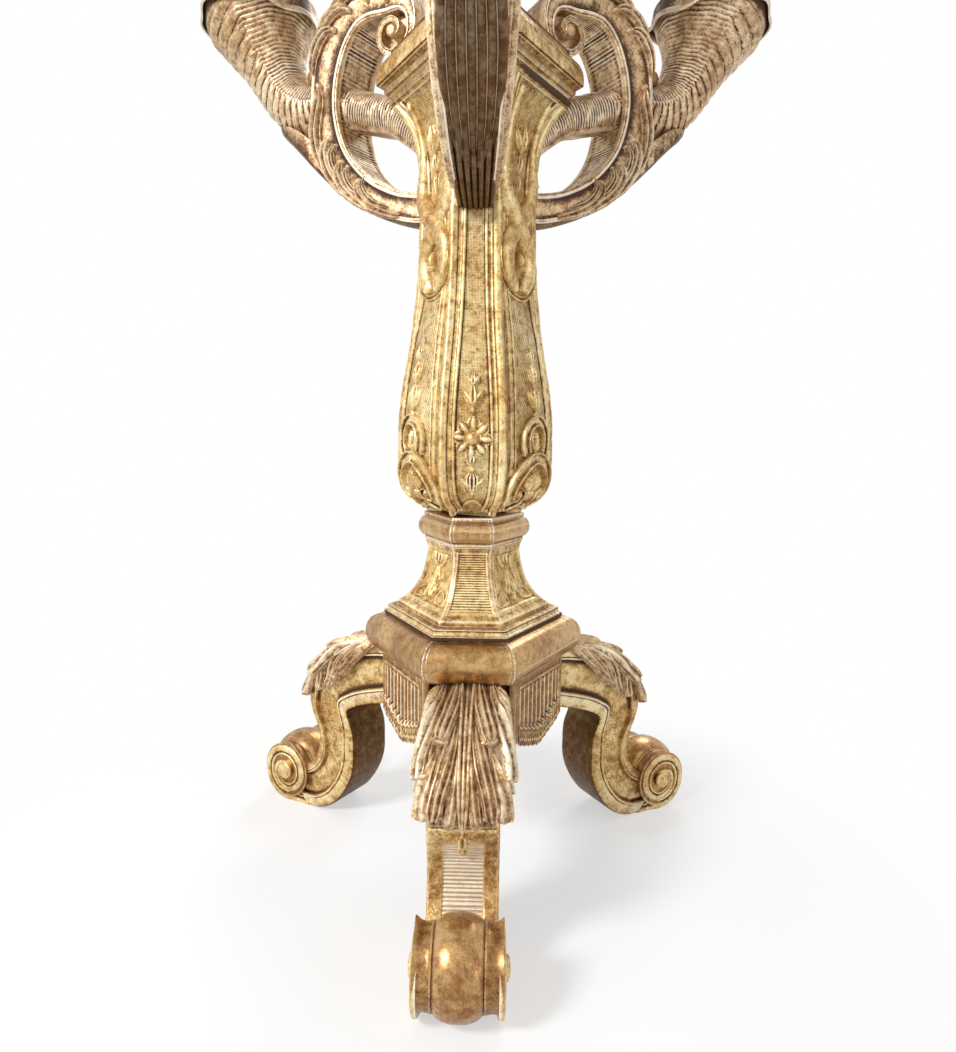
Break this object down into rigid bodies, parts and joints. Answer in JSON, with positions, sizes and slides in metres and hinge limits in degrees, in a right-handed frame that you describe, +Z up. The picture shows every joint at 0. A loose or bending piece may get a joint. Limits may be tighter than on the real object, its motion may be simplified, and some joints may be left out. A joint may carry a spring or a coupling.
{
  "type": "torchere candle stand",
  "caption": "Tall carved and gilded candle stand: six-sided baluster shaft, scrolled tripod legs, horn-shaped candle branches and a flat top.",
  "frame": {"origin": "on the floor, under the middle of the stand's bounding box; the shaft's axis stands 88.8 mm towards +Y of it", "axes": "+Z up; one leg and one branch point to -Y, the front; +X to the right"},
  "size_m": [0.8166, 0.7246, 1.248],
  "materials": {
    "gilding": "water gilding over red clay on carved wood, worn on the edges, dark in the recesses",
    "burnished_gilding": "burnished gilding rubbed down to the clay, brown-gold and glossy",
    "bare_wood": "bare or stained wood on hidden and inner faces"
  },
  "bodies": {
    "root": {"apron_block": "bare_wood", "apron_panel_back": "gilding", "apron_panel_left": "gilding", "apron_panel_right": "gilding", "berry_front": "gilding", "berry_left": "gilding", "berry_right": "gilding", "branch_dowel_front": "bare_wood", "branch_dowel_left": "bare_wood", "branch_dowel_right": "bare_wood", "c_scroll_front": "gilding", "c_scroll_left": "gilding", "c_scroll_right": "gilding", "candle_cup_front": "gilding", "candle_cup_left": "gilding", "candle_cup_right": "gilding", "capital": "burnished_gilding", "collar": "burnished_gilding", "foot_boss_front_left": "gilding", "foot_boss_front_right": "gilding", "foot_boss_left_left": "gilding", "foot_boss_left_right": "gilding", "foot_boss_right_left": "gilding", "foot_boss_right_right": "gilding", "horn_dowel_front": "bare_wood", "horn_dowel_left": "bare_wood", "horn_dowel_right": "bare_wood", "horn_front": "gilding", "horn_left": "gilding", "horn_right": "gilding", "horn_root_front": "gilding", "horn_root_left": "gilding", "horn_root_right": "gilding", "knee_leaf_front": "gilding", "knee_leaf_left": "gilding", "knee_leaf_right": "gilding", "leg_dowel_front_lower": "bare_wood", "leg_dowel_front_upper": "bare_wood", "leg_dowel_left_lower": "bare_wood", "leg_dowel_left_upper": "bare_wood", "leg_dowel_right_lower": "bare_wood", "leg_dowel_right_upper": "bare_wood", "leg_front": "gilding", "leg_left": "gilding", "leg_right": "gilding", "platform": "burnished_gilding", "plinth": "burnished_gilding", "plinth_step": "gilding", "shaft": "gilding", "socle": "gilding", "tenon_base": "bare_wood", "tenon_capital": "bare_wood", "tenon_platform": "bare_wood", "tenon_shaft": "bare_wood", "upper_stem": "gilding"}
  },
  "joints": []
}
